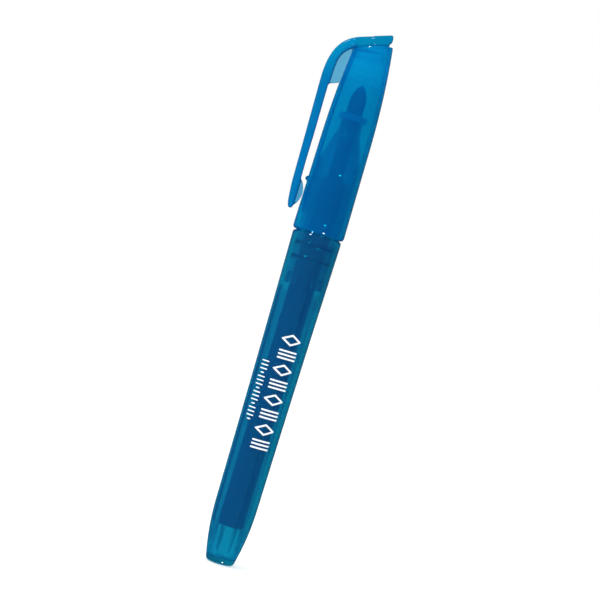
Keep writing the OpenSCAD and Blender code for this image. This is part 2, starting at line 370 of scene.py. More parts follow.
def mirrored_ray(tree, rays):
    """1 for a reflected ray that has not passed through a surface."""
    return calc(tree, "SUBTRACT", rays.outputs["Is Glossy Ray"],
                rays.outputs["Is Transmission Ray"], True)


# ---------------------------------------------------------------- see-through plastics
PAINTED_GLINT_AIMS = [(-38, 42), (27, -42)]     # azimuth from the front and height of the lamp that each painted glint imitates, degrees
PAINTED_GLINT_SIZE = 5.0                    # degrees from a painted glint's centre to its end
# colour of the painted shade that the plastics take at a grazing view
PAINTED_EDGE_SHADE = (0.004, 0.10, 0.20)


def painted_glints(tree, rays, strength):
    """Painted glints: emission where an outward-facing surface would mirror two small bright
    lamps.
    """
    geometry = tree.nodes.new("ShaderNodeNewGeometry")
    reflect = tree.nodes.new("ShaderNodeVectorMath")
    reflect.operation = "REFLECT"
    tree.links.new(geometry.outputs["Incoming"], reflect.inputs[0])
    tree.links.new(geometry.outputs["Normal"], reflect.inputs[1])
    full, none = (math.cos(math.radians(PAINTED_GLINT_SIZE * k)) for k in (0.5, 1))
    total = None
    for azimuth, elevation in PAINTED_GLINT_AIMS:
        a, e = math.radians(azimuth), math.radians(elevation)
        dot = tree.nodes.new("ShaderNodeVectorMath")
        dot.operation = "DOT_PRODUCT"
        tree.links.new(reflect.outputs[0], dot.inputs[0])
        dot.inputs[1].default_value = (-math.sin(a) * math.cos(e), math.cos(a) * math.cos(e),
                                       -math.sin(e))
        above = calc(tree, "SUBTRACT", dot.outputs["Value"], none)
        glow = calc(tree, "MULTIPLY", above, 1 / (full - none), True)
        total = glow if total is None else calc(tree, "ADD", total, glow)
    front = calc(tree, "SUBTRACT", 1.0, geometry.outputs["Backfacing"])
    bounces = calc(tree, "ADD", rays.outputs["Diffuse Depth"], rays.outputs["Glossy Depth"])
    direct = calc(tree, "SUBTRACT", 1.0, bounces, True)
    power = calc(tree, "MULTIPLY", calc(tree, "MULTIPLY", total, front),
                 calc(tree, "MULTIPLY", direct, strength))
    return add(tree, "ShaderNodeEmission", Color=(0.92, 0.97, 1.0, 1), Strength=power).outputs[0]


def body_colour(tree, body, upper):
    """Body colour with broad mottling, turning near the crown to upper (if given), a lighter
    colour painted on as painted light.
    """
    blend_foot, blend_height = 0.1235, 0.008        # metres
    broad = texture(tree, (1, 1, 0.25), Scale=140.0, Detail=2.0, Roughness=0.5)
    shade = ramp(tree, broad.outputs["Fac"], [(0.3, (0.93, 0.95, 0.97)), (0.7, grey(1.0))])
    colour = multiply(tree, shade, body)
    colour.node.name = "body"
    # painted light: towards the top the colour eases to a lighter copy of itself
    if upper:
        coords = tree.nodes.new("ShaderNodeTexCoord")
        place = add(tree, "ShaderNodeSeparateXYZ", Vector=coords.outputs["Object"])
        above = calc(tree, "SUBTRACT", place.outputs["Z"], blend_foot)
        high = calc(tree, "MULTIPLY", above, 1 / blend_height, True)
        painted_top_colour = multiply(tree, shade, upper)
        painted_top_colour.node.name = "upper"
        colour = mix_colour(tree, high, colour, painted_top_colour)
    return colour


def painted_rim_shade(tree, edge_mid, edge_amount, edge_lean):
    """How much painted shade a face takes at a grazing view; the +X side takes it sooner than the
    -X side, as painted shade for light that falls from -X.
    """
    weight = add(tree, "ShaderNodeLayerWeight", Blend=0.5)
    rim = ramp(tree, weight.outputs["Facing"],
               [(0.38, grey(0)), (0.68, grey(edge_mid)), (0.97, grey(edge_amount))])
    rim.node.name = "rim"
    geometry = tree.nodes.new("ShaderNodeNewGeometry")
    normal = add(tree, "ShaderNodeSeparateXYZ", Vector=geometry.outputs["Normal"])
    lean = calc(tree, "MULTIPLY", normal.outputs["X"], edge_lean)
    lean.node.name = "lean"
    return calc(tree, "MULTIPLY", rim, calc(tree, "ADD", lean, 1.0), True)


def plastic(name, body, per_mm, haze, tint=(0.55, 0.90, 0.95), rough=0.06, edge_mid=0.22,
            edge_amount=0.85, ior=1.49, edge_lean=0.6, upper=None, painted_glint=0.0, crisp=0.8):
    """Tinted see-through plastic.

    body: colour it scatters; upper: a lighter body colour near the crown, as painted light;
    per_mm: what a millimetre of it lets through; haze: how much each face scatters; tint: what
    one face lets through;
    edge_*: painted shade at grazing view, more on the +X side; crisp: how much haze deep faces
    lose."""
    material, tree = new_material(name)
    rays = tree.nodes.new("ShaderNodeLightPath")
    # faint flow streaks along the pen
    fine = texture(tree, (1, 1, 0.35), Scale=900.0, Detail=3.0, Roughness=0.55).outputs["Fac"]
    colour = body_colour(tree, body, upper)
    diffuse = add(tree, "ShaderNodeBsdfDiffuse", Color=colour, Roughness=0.3)
    translucent = add(tree, "ShaderNodeBsdfTranslucent", Color=colour)
    scatter = mix_shader(tree, 0.45, diffuse.outputs[0], translucent.outputs[0])
    glass = add(tree, "ShaderNodeBsdfPrincipled", Base_Color=rgba([c * c for c in tint]),
                Roughness=ramp(tree, fine, [(0.35, grey(rough * 0.7)), (0.7, grey(rough * 1.4))]),
                IOR=ior, Transmission_Weight=1.0,
                Normal=bump(tree, fine, strength=0.012, distance=0.00004))
    glass.name = "glass"
    # faces seen through two others are crisper
    deep = calc(tree, "SUBTRACT", rays.outputs["Transmission Depth"], 1.0, True)
    kept = calc(tree, "SUBTRACT", 1.0, calc(tree, "MULTIPLY", deep, crisp))
    amount = calc(tree, "MULTIPLY", haze, kept)
    amount.node.name = "haze"
    core = mix_shader(tree, amount, glass.outputs[0], scatter)
    # painted shade: a dark surface mixed in at grazing views, darker towards +X
    dark = add(tree, "ShaderNodeBsdfPrincipled", Base_Color=rgba(PAINTED_EDGE_SHADE), Roughness=0.25,
               IOR=1.3)
    core = mix_shader(tree, painted_rim_shade(tree, edge_mid, edge_amount, edge_lean), core,
                      dark.outputs[0])
    # painted glints: emission added over the plastic where it would mirror the two lamps
    if painted_glint:
        both = tree.nodes.new("ShaderNodeAddShader")
        tree.links.new(core, both.inputs[0])
        tree.links.new(painted_glints(tree, rays, painted_glint), both.inputs[1])
        core = both.outputs[0]
        material.cycles.emission_sampling = "NONE"
    # shadow rays pass straight through, less strongly tinted
    clear = add(tree, "ShaderNodeBsdfTransparent", Color=rgba([0.12 + 0.88 * c for c in tint]))
    clear.name = "clear"
    sigma = [-math.log(c) / MM for c in per_mm]
    dense = max(sigma)
    soak = add(tree, "ShaderNodeVolumeAbsorption", Color=rgba([1 - s / dense for s in sigma]),
               Density=dense)
    soak.name = "soak"
    out = finish_surface(tree, mix_shader(tree, rays.outputs["Is Shadow Ray"], core,
                                          clear.outputs[0]))
    tree.links.new(soak.outputs[0], out.inputs["Volume"])
    return material


SECTION_PER_MM = (0.06, 0.785, 0.83)
BARREL_LOOK = plastic(
    "barrel_plastic_look", body=(0.0103, 0.135, 0.41), per_mm=(0.0149, 0.858, 0.848), haze=0.40,
    edge_mid=0.023, edge_lean=0.9, painted_glint=7.0)
SECTION_LOOK = plastic(
    "section_plastic_look", body=(0.012, 0.33, 0.66), per_mm=SECTION_PER_MM, haze=0.11,
    edge_mid=0.1, edge_amount=0.5, painted_glint=20.0)
# painted shade: a darker, hazier copy of the section plastic for the raised rings
RING_SHADE_LOOK = plastic(
    "section_ring_painted_shade", body=(0.002, 0.035, 0.10), per_mm=SECTION_PER_MM, haze=0.85,
    edge_mid=0.3, painted_glint=60.0, crisp=0.0)
# painted light: a lighter copy of the section plastic for the slot ends and the nozzle collar
SLOT_LIGHT_LOOK = plastic(
    "section_slot_painted_light", body=(0.03, 0.58, 0.92), per_mm=SECTION_PER_MM, haze=0.55,
    edge_mid=0.05, edge_amount=0.1, painted_glint=20.0, crisp=0.0)
CAP_LOOK = plastic(
    "cap_plastic_look", body=(0.0004, 0.176, 0.5399), per_mm=(0.0167, 0.9348, 0.931), haze=0.45,
    edge_mid=0.01, edge_lean=1.0, upper=(0.0006, 0.26, 0.68), painted_glint=7.0)
INNER_LOOK = plastic(
    "inner_plastic_look", body=(0.007, 0.30, 0.45), per_mm=(0.96, 0.985, 0.99), haze=0.012,
    tint=(0.985, 0.995, 0.995), rough=0.12, edge_mid=0.01, edge_amount=0.03, ior=1.02)
CLIP_LOOK = plastic(
    "clip_plastic_look", body=(0.0005, 0.385, 0.755), per_mm=(0.12, 0.66, 0.82), haze=0.55,
    rough=0.08, edge_mid=0.1, edge_amount=0.7, upper=(0.001, 0.57, 0.88), painted_glint=0.9)
# painted light: a lighter copy of the clip plastic for its thin web and half disc
WEB_LIGHT_LOOK = plastic(
    "clip_web_painted_light", body=(0.04, 0.33, 0.60), per_mm=(0.38, 0.59, 0.775), haze=0.10,
    tint=(0.60, 0.90, 0.95), rough=0.10, edge_mid=0.1)
CROWN_PLUG_LOOK = plastic(
    "crown_plug_look", body=(0.004, 0.28, 0.62), per_mm=(0.7404, 0.9944, 0.995), haze=0.05,
    tint=(0.85, 0.97, 0.99), rough=0.08, edge_mid=0.05, edge_amount=0.2, ior=1.12)


# ---------------------------------------------------------------- other materials
def felt():
    """Dark felt with fine lengthwise fibres and pores."""
    material, tree = new_material("nib_felt_look")
    fibres = texture(tree, (1, 1, 0.08), Scale=5200.0, Detail=4.0, Roughness=0.7).outputs["Fac"]
    pores = texture(tree, (1, 1, 1), "ShaderNodeTexVoronoi", Scale=9000.0)
    colour = ramp(tree, fibres, [(0.3, (0.004, 0.035, 0.16)), (0.5, (0.008, 0.07, 0.27)),
                                 (0.75, (0.02, 0.13, 0.42))])
    colour = multiply(tree, colour, (0.06, 0.72, 0.42))
    colour.node.name = "gain"
    height = calc(tree, "ADD", fibres, calc(tree, "MULTIPLY", pores.outputs["Distance"], 0.6))
    shader = add(tree, "ShaderNodeBsdfPrincipled", Base_Color=colour, Roughness=0.72, IOR=1.4,
                 Sheen_Weight=0.25, Normal=bump(tree, height, strength=0.5, distance=0.00006))
    finish_surface(tree, shader.outputs[0])
    return material


def fibre():
    """Ink-soaked fibre bundle, with lengthwise strands and soft blots."""
    material, tree = new_material("ink_fibre_look")
    strands = texture(tree, (1, 1, 0.02), Scale=3800.0, Detail=5.0, Roughness=0.7).outputs["Fac"]
    blots = texture(tree, (1, 1, 0.4), Scale=160.0, Detail=2.0)
    colour = ramp(tree, strands, [(0.3, (0.085, 0.055, 0.17)), (0.7, (0.14, 0.095, 0.27))])
    colour = multiply(tree, colour, (4.0, 0.2014, 0.468))
    colour.node.name = "gain"
    colour = multiply(tree, colour, ramp(tree, blots.outputs["Fac"],
                                         [(0.3, (0.85, 0.9, 0.95)), (0.7, grey(1))]))
    shader = add(tree, "ShaderNodeBsdfPrincipled", Base_Color=colour, Roughness=0.8, IOR=1.35,
                 Normal=bump(tree, strands, strength=0.35, distance=0.00005))
    finish_surface(tree, shader.outputs[0])
    return material


def film():
    """Thin, slightly wrinkled, mostly clear film."""
    material, tree = new_material("film_look")
    wrinkles = texture(tree, (1, 1, 0.5), Scale=420.0, Detail=3.0, Roughness=0.5).outputs["Fac"]
    shader = add(tree, "ShaderNodeBsdfPrincipled", Base_Color=rgba((0.10, 0.16, 0.30)),
                 Roughness=0.22, IOR=1.4, Alpha=0.22,
                 Normal=bump(tree, wrinkles, strength=0.25, distance=0.00005))
    finish_surface(tree, shader.outputs[0])
    return material


def white_ink():
    """White print with a fine speckle."""
    material, tree = new_material("white_print_look")
    speckle = texture(tree, (1, 1, 1), Scale=6500.0, Detail=3.0).outputs["Fac"]
    colour = ramp(tree, speckle, [(0.25, (0.74, 0.80, 0.86)), (0.6, (0.93, 0.96, 0.98))])
    shader = add(tree, "ShaderNodeBsdfPrincipled", Base_Color=colour, Roughness=0.45,
                 Normal=bump(tree, speckle, strength=0.2, distance=0.00001))
    finish_surface(tree, shader.outputs[0])
    return material


FELT_LOOK, FIBRE_LOOK, FILM_LOOK, PRINT_LOOK = felt(), fibre(), film(), white_ink()

# ---------------------------------------------------------------- barrel
GUIDE_RIBS = [-67.5 + 90 * i for i in range(4)]     # degrees, beside the reservoir
TAIL_RIBS = [22.5 + 45 * i for i in range(8)]       # degrees, below the reservoir
TAIL_RIB_R = 3.1
LIP_H, LIP_IN = 0.8, 0.55       # height and inward run of the rounded mouth


def barrel_outside():
    """From the dimpled tail centre up to the mouth and just over its lip."""
    corner_r = float(barrel_r(TAIL_CORNER))
    lip_z = BARREL_TOP - LIP_H
    lip_r = float(barrel_r(lip_z))
    out = [(0, 0.16), (0.9, 0.15), (1.25, 0.05), (1.5, 0.0), (TAIL_FLAT, 0.0)]
    out += [(TAIL_FLAT + (corner_r - TAIL_FLAT) * math.sin(a), TAIL_CORNER * (1 - math.cos(a)))
            for a in np.radians(np.arange(9, 90, 9))]
    out += follow(barrel_r, np.linspace(TAIL_CORNER, TAIL_H, 20))
    out += follow(barrel_r, np.linspace(TAIL_H, lip_z, 48)[1:])
    out += [(lip_r - LIP_IN * (1 - math.cos(a)), lip_z + LIP_H * math.sin(a))
            for a in np.radians(np.arange(11.25, 90.1, 11.25))]
    return out + [(PLUG_R + 0.12, BARREL_TOP), (PLUG_R + 0.05, BARREL_TOP - 0.03),
                  (PLUG_R, BARREL_TOP - 0.12)]


def barrel_inside(floor_r):
    """From inside the mouth down to the centre of the floor."""
    inside = resample([(PLUG_R, BARREL_TOP - 0.12), (PLUG_R, PLUG_FOOT - 0.5)], 1.5)[1:]
    heights = np.concatenate([
        [PLUG_FOOT - 1.0], np.linspace(PLUG_FOOT - 1.3, PLUG_FOOT - 2.3, 6),
        np.linspace(PLUG_FOOT - 3.5, 11.5, 40),
        [10.6, 10.1, 9.95, 9.85, 9.75, 9.65, 9.55, 9.4, 9.2],
        np.linspace(8.6, FLOOR + 0.9, 12)])
    inside += follow(bore_r, heights)
    flat_r = floor_r - FLOOR_FILLET
    inside += [(floor_r - 0.02, FLOOR + FLOOR_FILLET)]
    inside += [(flat_r + FLOOR_FILLET * math.cos(a),
                FLOOR + FLOOR_FILLET - FLOOR_FILLET * math.sin(a))
               for a in np.radians([22, 45, 68, 90])]
    return inside + [(flat_r * k, FLOOR) for k in (0.85, 0.7, 0.5, 0.25, 0)]


def build_barrel():
    turns = spaced_turns(120, TAIL_RIBS, 4.6, 0.7)
    outside = barrel_outside()
    floor_r = float(bore_r(FLOOR + FLOOR_FILLET))
    R, Z = grids(turns, outside + barrel_inside(floor_r))
    r, z = R[:, len(outside):], Z[:, len(outside):]
    wall = r >= floor_r - 0.62      # all but the flat floor
    below_core = (1 - ease(CORE_FOOT - 0.3, CORE_FOOT + 0.05, z)) * wall
    for centre in TAIL_RIBS:
        rib_r = np.minimum(r, TAIL_RIB_R + 0.02 * (CORE_FOOT - z))
        r = r + (rib_r - r) * below_core * ridge(turns, centre, 3.9, 5.3)
    beside_core = (ease(CORE_FOOT - 0.35, CORE_FOOT - 0.1, z)
                   * (1 - ease(PLUG_FOOT - 2.2, PLUG_FOOT - 1.2, z)))
    for centre in GUIDE_RIBS:
        r = r + (np.minimum(r, RIB_R) - r) * beside_core * ridge(turns, centre, 3.6, 5.0)
    R[:, len(outside):] = r
    ob = turned("barrel_body", turns, R, Z, [BARREL_LOOK], False)
    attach(ob, "pen")
    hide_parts("barrel")


build_barrel()

# ---------------------------------------------------------------- front section
PLUG_OUT = PLUG_R - 0.18
RING_FEET = (79.15, 82.7)       # raised rings round the plug
RING_OUT = PLUG_OUT + 0.16
FLANGE_R = 5.68
NECK_OUT = NECK_R - 0.02
BEAD_FEET = (88.9, 101.9)       # shallow beads round the neck
BEAD_OUT = NECK_R + 0.035
SLOTS = [15 + 30 * i for i in range(12)]            # degrees, round the plug's lower end
SLOT_R, SLOT_HALF, SLOT_H, SLOT_CORNER = 4.7, 0.85, 2.8, 0.45
SLOT_REACH = 77.9               # points below this height shift to follow the slots
SECTION_RIBS = [-78 + 60 * i for i in range(6)]     # degrees, in the bore
VENTS = [22.5 + 45 * i for i in range(8)]           # degrees, grooves beside the nib
VENT_DEPTH = 0.4


def section_profile():
    """Closed outline: up the outside, down the bore and round the plug's lower end."""
    body = [(PLUG_OUT, SLOT_REACH)]
    for z in RING_FEET:
        body += [(PLUG_OUT, z, 0.3), (RING_OUT, z + 0.3, 0.25), (RING_OUT, z + 0.95, 0.25),
                 (PLUG_OUT, z + 1.25, 0.3)]
    body += [(PLUG_OUT, BARREL_TOP + 0.03, 0.05), (FLANGE_R, BARREL_TOP + 0.04, 0.08),
             (FLANGE_R, BARREL_TOP + 0.2, 0.08), (NECK_OUT, BARREL_TOP + 0.26, 0.12)]
    for z in BEAD_FEET:
        body += [(NECK_OUT, z, 0.04), (BEAD_OUT, z + 0.12, 0.04), (BEAD_OUT, z + 0.48, 0.04),
                 (NECK_OUT, z + 0.6, 0.04)]
    body += [(NECK_OUT, 104.9, 1.5), (NOZZLE_R + 0.42, 112.35, 0.6),
             (NOZZLE_R + 0.25, 112.68, 0.3)]
    nozzle = [(NOZZLE_R + 0.12, 112.7), (NOZZLE_R, 112.8, 0.15), (NOZZLE_R, 116.4, 0.15),
              (COLLAR_R, 116.4, 0.18), (COLLAR_R, NOZZLE_TOP, 0.35), (1.95, NOZZLE_TOP, 0.12),
              (1.95, 111.7)]
    funnel = [(1.96, 111.5), (2.2, 111.2, 0.2), (SECTION_BORE, 103.8, 0.8), (SECTION_BORE, 103.0)]
    profile = resample(rounded(body), 1.2) + resample(rounded(nozzle, 6), 0.8)
    profile += resample(rounded(funnel), 1.0)
    # the bore, with heights crowded at both ends of its ribs
    profile += [(SECTION_BORE, z) for z in (102.8, 101.3, 101.1, 100.95, 100.8, 100.6)]
    profile += resample([(SECTION_BORE, 100.2), (SECTION_BORE, 88.2)], 2)
    profile += [(SECTION_BORE, z) for z in (87.6, 87.35, 87.15, 86.9)]
    profile += resample([(SECTION_BORE, 86.5), (SECTION_BORE, SLOT_REACH)], 1.6)
    # the lower end
    profile += [(SECTION_BORE, z) for z in np.linspace(77.3, PLUG_FOOT + 0.12, 8)]
    profile += [(SECTION_BORE + 0.05, PLUG_FOOT + 0.03), (SECTION_BORE + 0.14, PLUG_FOOT),
                (PLUG_OUT - 0.14, PLUG_FOOT), (PLUG_OUT - 0.05, PLUG_FOOT + 0.03)]
    return profile + [(PLUG_OUT, z) for z in np.linspace(PLUG_FOOT + 0.12, 77.3, 8)]


def cut_slots(turns, Z):
    """Makes the lower end of the plug follow a row of rounded arches."""
    end = np.full(len(turns), PLUG_FOOT)
    for centre in SLOTS:
        aside = np.abs(degrees_from(turns, centre)) * math.pi / 180 * SLOT_R
        into_corner = np.clip(aside - (SLOT_HALF - SLOT_CORNER), 0, SLOT_CORNER)
        drop = np.sqrt(np.clip(SLOT_CORNER ** 2 - into_corner ** 2, 0, None))
        end = np.where(aside <= SLOT_HALF, PLUG_FOOT + SLOT_H - SLOT_CORNER + drop, end)
    end = end[:, None]
    moved = end + (Z - PLUG_FOOT) * (SLOT_REACH - end) / (SLOT_REACH - PLUG_FOOT)
    return np.where(Z < SLOT_REACH, moved, Z)


def paint_section(ob):
    """Gives the rings a darker copy of the section plastic as painted shade, and the slot ends
    and nozzle collar a lighter copy as painted light.
    """
    middle = np.array([p.center for p in ob.data.polygons]) / MM
    r, z = np.hypot(middle[:, 0], middle[:, 1]), middle[:, 2]
    low_ring, high_ring = (np.abs(z - (foot + 0.63)) for foot in RING_FEET)
    ring = (r > PLUG_R - 0.14) & (np.minimum(low_ring, high_ring) < 0.4)
    slot = (r > SECTION_BORE + 0.04) & (r < PLUG_OUT - 0.04) & (z > PLUG_FOOT + 0.2) & (z < 76.5)
    slot |= (r > NOZZLE_R + 0.1) & (z > 116.3)
    index = np.where(ring, 1, np.where(slot, 2, 0))
    ob.data.polygons.foreach_set("material_index", index.astype(np.int32))


def build_section():
    turns = thinned(np.concatenate([
        spaced_turns(96, SLOTS, math.degrees(SLOT_HALF / SLOT_R), 0.35),
        spaced_turns(4, SECTION_RIBS, 3.3, 0.6), spaced_turns(4, VENTS, 6.5, 0.8)]),
        math.radians(0.07))
    R, Z = grids(turns, section_profile())
    Z = cut_slots(turns, Z)
    bore = np.abs(R - SECTION_BORE) < 0.01
    ribbed = ease(87.0, 87.4, Z) * (1 - ease(100.65, 101.0, Z)) * bore
    for centre in SECTION_RIBS:
        R = R + (RIB_R - R) * ribbed * ridge(turns, centre, 2.7, 4.0)
    nib_hole = (R < 2.0) & (Z < NOZZLE_TOP + 0.01) & (Z > 111.6)
    for centre in VENTS:
        R = R + VENT_DEPTH * ridge(turns, centre, 5.5, 7.6) * nib_hole
    ob = turned("section_body", turns, R, Z, [SECTION_LOOK, RING_SHADE_LOOK, SLOT_LIGHT_LOOK], True)
    paint_section(ob)
    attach(ob, "pen")
    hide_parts("front_section")


build_section()

# ---------------------------------------------------------------- nib
NIB_R, NIB_STEM_R = 2.1, 1.9
BULLET_H = 5.0          # length of the curved point


def build_nib():
    turns = spaced_turns(120)
    depths = BULLET_H * (1 - np.linspace(0, 1, 40)) ** 1.7
    bullet = [(NIB_R * (1 - (1 - d / BULLET_H) ** 2.4) ** 0.75, NIB_TIP - d) for d in depths]
    stem_z = NIB_FOOT + 1.2
    profile = rounded([(0, NIB_FOOT), (1.6, NIB_FOOT, 0.1), (NIB_STEM_R, NIB_FOOT + 0.6, 0.3),
                       (NIB_STEM_R, stem_z)])
    profile += resample([(NIB_STEM_R, stem_z), (NIB_STEM_R, NOZZLE_TOP - 0.3)], 0.8)[1:]
    profile += [(1.93, NOZZLE_TOP - 0.1), (2.03, NOZZLE_TOP + 0.1), (2.09, NOZZLE_TOP + 0.4),
                (NIB_R, NOZZLE_TOP + 1.0), (NIB_R, NIB_TIP - BULLET_H - 0.6)]
    profile += bullet[:-1] + [(0, NIB_TIP)]
    R, Z = grids(turns, profile)
    # bonded fibres leave a fine grain on the sides, softer on the point
    coarse = 0.012 * np.sin(turns * 37 + 1.3)[:, None]
    fine = 0.008 * np.sin(turns * 61 + 0.4)[:, None] * np.sin(Z * 1.7)
    fade = 1 - ease(NIB_TIP - 2.0, NIB_TIP - 0.2, Z)
    R = np.where(R > 0.05, R + (coarse + fine) * fade * (Z > NOZZLE_TOP), R)
    ob = turned("nib_bullet", turns, R, Z, [FELT_LOOK], False, 50)
    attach(ob, "pen")
    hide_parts("nib")


build_nib()

# ---------------------------------------------------------------- reservoir
NIB_HOLE_R = 1.92
LAP_AT, LAP_RISE = 110, 0.035       # the film's lap seam: degrees round the pen, height


def build_core():
    turns = spaced_turns(120)
    r, foot, top, hole_z = CORE_R - 0.02, CORE_FOOT + 0.02, CORE_TOP - 0.02, NIB_FOOT - 0.05
    profile = rounded([(0, foot), (r, foot, 0.15), (r, top, 0.2), (NIB_HOLE_R, top, 0.1),
                       (NIB_HOLE_R, hole_z), (0, hole_z)])
    R, Z = grids(turns, resample(profile, 1.2))
    squeeze = (0.02 * np.sin(turns * 3 + 0.7)[:, None] * np.sin(Z * 0.21)
               + 0.010 * np.sin(turns * 23)[:, None])
    R = np.where(R > r - 0.3, R + np.minimum(0, squeeze - 0.02), R)
    core = turned("ink_reservoir", turns, R, Z, [FIBRE_LOOK], False, 50)
    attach(core, "pen")
    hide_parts("reservoir_core")


def build_film():
    turns = spaced_turns(100, [LAP_AT], 10, 0.25)
    inner, outer = CORE_R + 0.005, CORE_R + 0.06
    profile = rounded([(outer, 40), (outer, CORE_TOP, 0.02), (inner, CORE_TOP, 0.02),
                       (inner, CORE_FOOT, 0.02), (outer, CORE_FOOT, 0.02), (outer, 39)], 3)
    R, Z = grids(turns, resample(profile, 1.5))
    R = np.where(R > (inner + outer) / 2, R + LAP_RISE * ridge(turns, LAP_AT, 9.7, 10.3), R)
    sleeve = turned("film_sleeve", turns, R, Z, [FILM_LOOK], True, 40)
    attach(sleeve, "pen")
    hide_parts("reservoir_film")


build_core()
build_film()

# ---------------------------------------------------------------- cap shell
LIP_R, CAP_LIP_RUN, CAP_LIP_H = 6.03, 0.65, 0.9
PIP_Z, PIP_R, PIP_ARC_R, PIP_RISE = 99.45, 0.62, 6.6, 0.98      # pip behind the clip


def meet(radius, cosine):
    """Height where a wall of radius(z), in a direction of this cosine, meets the slanted top."""
    low, high = 130.0, 139.0
    for _ in range(40):
        middle = (low + high) / 2
        if middle < top_plane(float(radius(middle)) * cosine):
            low = middle
        else:
            high = middle
    return low


def quadratic(start, corner, end, count):
    return [tuple((1 - t) ** 2 * start + 2 * t * (1 - t) * corner + t * t * end)
            for t in np.linspace(0, 1, count)]


def cap_top(turn):
    """Outline of the upper cap at one turn: up the outside, over the slanted rim and down."""
    out_z, in_z = (meet(radius, math.cos(turn)) for radius in (cap_r, cap_in))
    out_corner, below_out, in_corner, below_in = (
        np.array(follow(radius, [z])[0]) for radius, z in
        ((cap_r, out_z), (cap_r, out_z - 0.3), (cap_in, in_z), (cap_in, in_z - 0.2)))
    inward = (in_corner - out_corner) / np.linalg.norm(in_corner - out_corner)
    rim_out, rim_in = out_corner + inward * 0.26, in_corner - inward * 0.15
    return (follow(cap_r, np.linspace(127.6, out_z - 0.42, 16))
            + quadratic(below_out, out_corner, rim_out, 6)
            + [tuple(rim_in * 0.5 + rim_out * 0.5)]
            + quadratic(rim_in, in_corner, below_in, 4)
            + follow(cap_in, np.linspace(in_z - 0.5, 110.8, 34)))


def build_cap():
    behind_clip = np.radians(180 + np.arange(-6.5, 6.6, 0.5))
    turns = thinned(np.concatenate([spaced_turns(132), behind_clip]), math.radians(0.2))
    low_out = [(5.95, CAP_FOOT + 0.02), (LIP_R, CAP_FOOT)]
    low_out += [(LIP_R + CAP_LIP_RUN * math.sin(a), CAP_FOOT + CAP_LIP_H * (1 - math.cos(a)))
                for a in np.radians(np.arange(9, 91, 9))]
    low_out += follow(cap_r, np.concatenate([
        np.linspace(88, 98.4, 10), np.linspace(98.6, 100.3, 22), np.linspace(101, 127, 34)]))
    low_in = follow(cap_in, np.linspace(110, 88, 18))
    low_in += [(NECK_R + out, CAP_FOOT + up) for out, up in
               ((0.05, 0.75), (0.10, 0.5), (0.25, 0.22), (0.42, 0.06), (0.52, 0.02))]
    R, Z = split_grids([low_out + cap_top(turn) + low_in for turn in turns])
    n = len(low_out)
    arc = degrees_from(turns, 180)[:, None] * math.pi / 180 * PIP_ARC_R
    pip = np.sqrt(np.clip(PIP_R ** 2 - (arc ** 2 + (Z[:, :n] - PIP_Z) ** 2), 0, None))
    R[:, :n] += pip * PIP_RISE
    ob = turned("cap_body", turns, R, Z, [CAP_LOOK], True, 40)
    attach(ob, "cap")
    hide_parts("cap_shell")


build_cap()

# ---------------------------------------------------------------- inner cap
SEAL_R, SEAL_BODY_R = 4.5, 4.42
SEAL_DOME_Z, SEAL_DOME_H = 124.8, 1.3


def build_inner():
    turns = spaced_turns(144)
    bore = COLLAR_R + 0.07
    top = SEAL_TOP - 0.05
    profile = rounded([
        (0, top), (SEAL_R, top, 0.35), (SEAL_R, SEAL_TOP - 0.9, 0.3),
        (SEAL_BODY_R, SEAL_TOP - 1.4, 0.3), (SEAL_BODY_R, SEAL_FOOT, 0.2),
        (bore + 0.12, SEAL_FOOT, 0.1), (bore, SEAL_FOOT + 0.5, 0.2), (bore, SEAL_DOME_Z)])
    profile += [(bore - 1.0 + 1.0 * math.cos(a), SEAL_DOME_Z + SEAL_DOME_H * math.sin(a))
                for a in np.radians(np.arange(9, 91, 9))]
    profile += [(1.4, 126.12), (0, 126.12)]
    R, Z = grids(turns, resample(profile, 1.2))
    ob = turned("inner_seal", turns, R, Z, [INNER_LOOK], False, 40)
    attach(ob, "cap")
    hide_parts("inner_cap")


build_inner()


# ---------------------------------------------------------------- crown and clip
# One smooth moulding from a distance field. Its outlines are (x, z) points in the side view.
def bezier(controls, n):
    t = np.linspace(0, 1, n + 1)[:, None]
    p = np.array(controls, float)
    return ((1 - t) ** 3 * p[0] + 3 * (1 - t) ** 2 * t * p[1] + 3 * (1 - t) * t * t * p[2]
            + t ** 3 * p[3])


# underside of the bend between arm and crown
BEND_UNDER = bezier([[-8.46, 124.5], [-8.4, 130.65], [-8.4, 132.54], [-4.6, 134.92]], 18)


def side_outline():
    a = np.radians(np.arange(0, 91, 11.25))
    crown_edge = np.stack([3.5 + 0.75 * np.cos(a), CROWN_TOP - 1 + np.sin(a)], 1)
    step = [[-0.75, 138.56], [-0.95, 138.40]]
    bend_over = bezier([[-4.2, 137.32], [-7.99, 135.92], [-10.78, 132.83], [-10.78, 125.5]], 26)
    arm_outer = [
        [[-10.75, FLEX_Z]],
        bezier([[-10.58, 116], [-10.35, 107], [-10.25, 100.5], [-10.17, 97.5]], 8),
        bezier([[-10.04, 95.7], [-9.85, 93.8], [-9.75, 90.85], [-8.8, CLIP_TIP]], 14)]
    arm_inner = [
        bezier([[-8.55, CLIP_TIP + 0.02], [-8.3, 91.05], [-8.2, 91.4], [-8.2, 92.2]], 6),
        [[-8.2, 98.9], [-8.3, 104], [-8.3, 112], [-8.42, 120]]]
    under = [[-4.1, 134.9], [-3.85, top_plane(-3.85) + 0.06], [3.6, top_plane(3.6) + 0.06],
             [3.6, 137.62], [3.72, 137.95], [4.05, 138.25], [4.22, 138.6]]
    return np.concatenate([crown_edge, step, bend_over, *arm_outer, *arm_inner, BEND_UNDER,
                           under])


def web_outline():
    """Thin web that fills the corner between the bend and the cap."""
    return np.concatenate([
        [[-8.75, 123.35], [-8.45, 123.75], [-8.1, 124.05], [-5.2, 125.15], [-3.0, 131.0],
         [-3.6, 135.1]],
        BEND_UNDER[::-1] + [-0.35, 0.25]])


